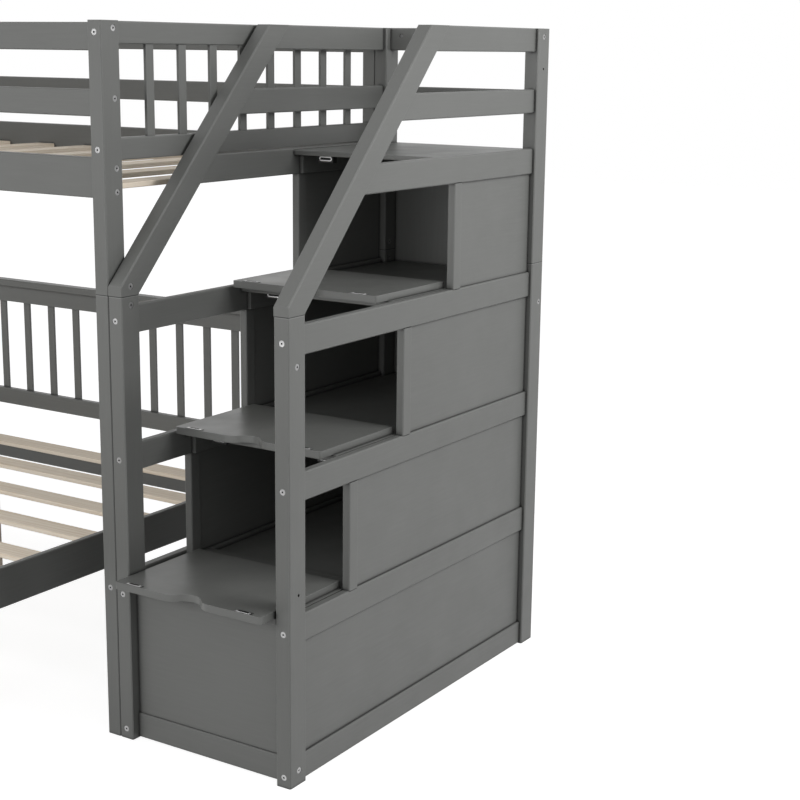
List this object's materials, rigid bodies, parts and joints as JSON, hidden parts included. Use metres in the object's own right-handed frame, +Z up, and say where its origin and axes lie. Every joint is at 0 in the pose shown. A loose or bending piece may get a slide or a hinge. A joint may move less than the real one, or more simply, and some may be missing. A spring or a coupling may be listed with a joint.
{
  "type": "bunk bed with storage stairs",
  "caption": "Bunk bed: a high single bed, a low double bed set across under it, and a staircase whose risers are hinged flaps in front of storage cubbies.",
  "frame": {"origin": "centre of the footprint on the floor", "axes": "+Z up, +X along the high bed towards the stairs, +Y from the foot of the low bed to the slatted back"},
  "size_m": [2.525, 2.063, 1.6],
  "materials": {
    "painted_wood": "satin grey paint",
    "pine": "bare planed pine",
    "zinc_steel": "bright zinc plate"
  },
  "bodies": {
    "frame": {"bunk_posts_lower": "painted_wood", "bunk_posts_upper": "painted_wood", "post_dowels": "pine", "side_rails": "painted_wood", "bed_guard_rails": "painted_wood", "high_ledgers": "pine", "high_slats": "pine", "end_rails": "painted_wood", "end_slats": "painted_wood", "end_stretchers": "painted_wood", "back_panel_rails": "painted_wood", "back_panel_cap": "painted_wood", "back_panel_slats": "painted_wood", "low_side_rails": "painted_wood", "low_ledgers": "pine", "low_slats": "pine", "low_middle_legs": "pine", "low_head_legs": "painted_wood", "low_foot_legs": "painted_wood", "low_head_rail": "painted_wood", "low_foot_rail": "painted_wood", "stair_front_posts": "painted_wood", "stair_back_posts_lower": "painted_wood", "stair_back_posts_upper": "painted_wood", "stair_rails_right": "painted_wood", "stair_rails_left": "painted_wood", "stair_stiles": "painted_wood", "stair_panels_right": "painted_wood", "stair_panels_left": "painted_wood", "handrails": "painted_wood", "landing_guards": "painted_wood", "rear_guards": "painted_wood", "rear_rails": "painted_wood", "rear_panel": "painted_wood", "riser_rails": "painted_wood", "riser_panel": "painted_wood", "tread_1": "painted_wood", "tread_2": "painted_wood", "tread_3": "painted_wood", "landing_board": "painted_wood", "cubby_floors": "painted_wood", "tread_cleats": "painted_wood", "fixed_leaves": "zinc_steel", "hinge_pins": "zinc_steel", "catches": "zinc_steel", "bolts": "zinc_steel", "barrel_nuts": "zinc_steel"},
    "flap_1": {"flap_1": "painted_wood", "flap_leaves_1": "zinc_steel", "strike_plates_1": "zinc_steel"},
    "flap_2": {"flap_2": "painted_wood", "flap_leaves_2": "zinc_steel", "strike_plates_2": "zinc_steel"},
    "flap_3": {"flap_3": "painted_wood", "flap_leaves_3": "zinc_steel", "strike_plates_3": "zinc_steel"}
  },
  "joints": [
    {"name": "flap_1_hinge", "type": "hinge", "parent": "frame", "child": "flap_1", "pos_m": [1.0205, 0.185, 0.3808], "axis": [-1, 0, 0], "range_deg": [0, 90]},
    {"name": "flap_2_hinge", "type": "hinge", "parent": "frame", "child": "flap_2", "pos_m": [1.0205, 0.3975, 0.6908], "axis": [-1, 0, 0], "range_deg": [0, 90]},
    {"name": "flap_3_hinge", "type": "hinge", "parent": "frame", "child": "flap_3", "pos_m": [1.0205, 0.61, 1.0008], "axis": [-1, 0, 0], "range_deg": [0, 90]}
  ]
}
